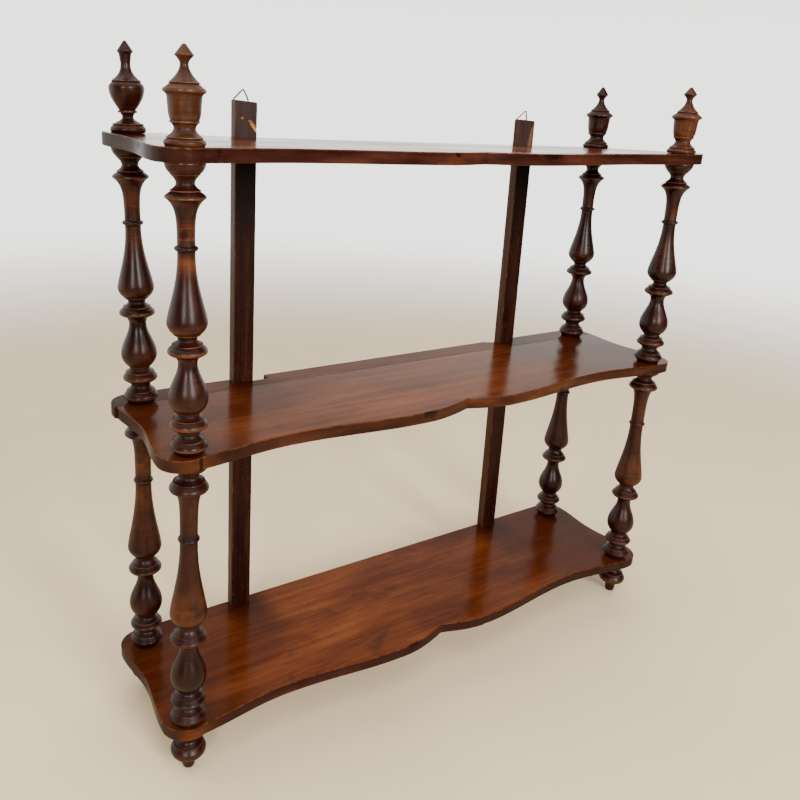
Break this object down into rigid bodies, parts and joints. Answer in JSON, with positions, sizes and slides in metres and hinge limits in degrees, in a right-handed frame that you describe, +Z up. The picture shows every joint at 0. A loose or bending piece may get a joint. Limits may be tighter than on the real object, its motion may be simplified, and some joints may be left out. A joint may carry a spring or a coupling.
{
  "type": "wall etagere",
  "caption": "Hanging wall etagere: serpentine wooden shelves on turned baluster columns, with cup finials, turned feet, and back rails that end in wire hanger rings.",
  "frame": {"origin": "centre of the bounding box at floor level, under the feet", "axes": "+Z up, -Y towards the viewer (the cusped fronts of the shelves), +Y towards the wall, +X to the viewer's right"},
  "size_m": [0.713, 0.1854, 0.7084],
  "materials": {
    "shelf_wood": "red-brown stain under a worn French polish",
    "turned_wood": "dark red-brown stain under a worn polish",
    "pale_turned_wood": "golden-brown, polish worn through",
    "rail_wood": "near-black stain, chipped",
    "steel": "dull",
    "wire": "dull grey wire"
  },
  "bodies": {
    "etagere": {"bottom_shelf": "shelf_wood", "middle_shelf": "shelf_wood", "middle_shelf_back_strip": "shelf_wood", "top_shelf": "shelf_wood", "foot_front_left": "turned_wood", "foot_front_right": "turned_wood", "foot_back_left": "turned_wood", "foot_back_right": "turned_wood", "lower_column_front_left": "turned_wood", "lower_column_front_right": "turned_wood", "lower_column_back_left": "turned_wood", "lower_column_back_right": "turned_wood", "upper_column_front_left": "turned_wood", "upper_column_front_right": "turned_wood", "upper_column_back_left": "turned_wood", "upper_column_back_right": "turned_wood", "finial_front_left": "pale_turned_wood", "finial_front_right": "pale_turned_wood", "finial_back_left": "turned_wood", "finial_back_right": "turned_wood", "back_rail_left": "rail_wood", "back_rail_right": "rail_wood", "rail_nail_left_bottom": "steel", "rail_nail_left_middle": "steel", "rail_nail_left_top": "steel", "rail_nail_right_bottom": "steel", "rail_nail_right_middle": "steel", "rail_nail_right_top": "steel", "strap_nail_left": "steel", "strap_nail_right": "steel", "hanger_strap_left": "steel", "hanger_strap_right": "steel"},
    "ring_left": {"hanger_ring_left": "wire"},
    "ring_right": {"hanger_ring_right": "wire"}
  },
  "joints": [
    {"name": "left_ring_hinge", "type": "hinge", "parent": "etagere", "child": "ring_left", "pos_m": [-0.2043, 0.0909, 0.6528], "axis": [-1, 0, 0], "range_deg": [0, 175]},
    {"name": "right_ring_hinge", "type": "hinge", "parent": "etagere", "child": "ring_right", "pos_m": [0.20412, 0.0909, 0.64733], "axis": [-0.9999, 0, -0.0157], "range_deg": [0, 175]}
  ]
}
